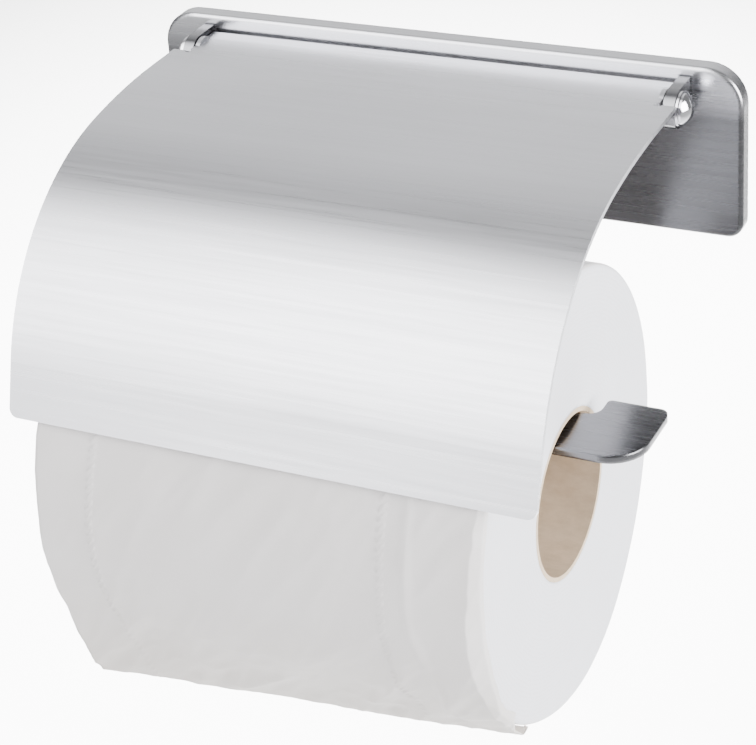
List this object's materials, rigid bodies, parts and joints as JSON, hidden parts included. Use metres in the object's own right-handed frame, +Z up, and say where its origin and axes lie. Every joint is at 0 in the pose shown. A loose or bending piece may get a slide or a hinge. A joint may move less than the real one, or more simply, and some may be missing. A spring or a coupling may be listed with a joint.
{
  "type": "toilet paper holder",
  "caption": "Wall-mounted toilet paper holder with a curved hinged cover, a flat hook arm and a paper roll.",
  "frame": {"origin": "middle of the back plate, on the wall", "axes": "+Z up, +Y into the wall, +X to the right of someone facing the wall"},
  "size_m": [0.14, 0.1028, 0.1302],
  "materials": {
    "brushed_steel": "brushed along the width",
    "polished_steel": "polished",
    "zinc_steel": "plain zinc-plated",
    "tissue_paper": "soft embossed tissue",
    "cardboard": "plain grey-brown board"
  },
  "bodies": {
    "holder": {"back_plate": "brushed_steel", "wall_bracket": "zinc_steel", "grub_screw": "zinc_steel", "hinge_lug_left": "brushed_steel", "hinge_lug_right": "brushed_steel", "hinge_pin_left": "polished_steel", "hinge_pin_right": "polished_steel", "hinge_washers": "polished_steel", "pin_clips": "zinc_steel", "roll_arm": "brushed_steel", "arm_rivets": "polished_steel"},
    "lid": {"cover": "brushed_steel"},
    "roll": {"paper_roll": "tissue_paper", "cardboard_core": "cardboard", "paper_tail": "tissue_paper"}
  },
  "joints": [
    {"name": "cover_hinge", "type": "hinge", "parent": "holder", "child": "lid", "pos_m": [0, -0.011, 0.013], "axis": [-1, 0, 0], "range_deg": [0, 100]},
    {"name": "roll_spin", "type": "hinge", "parent": "holder", "child": "roll", "pos_m": [0, -0.053, -0.0592], "axis": [1, 0, 0], "continuous": true}
  ]
}
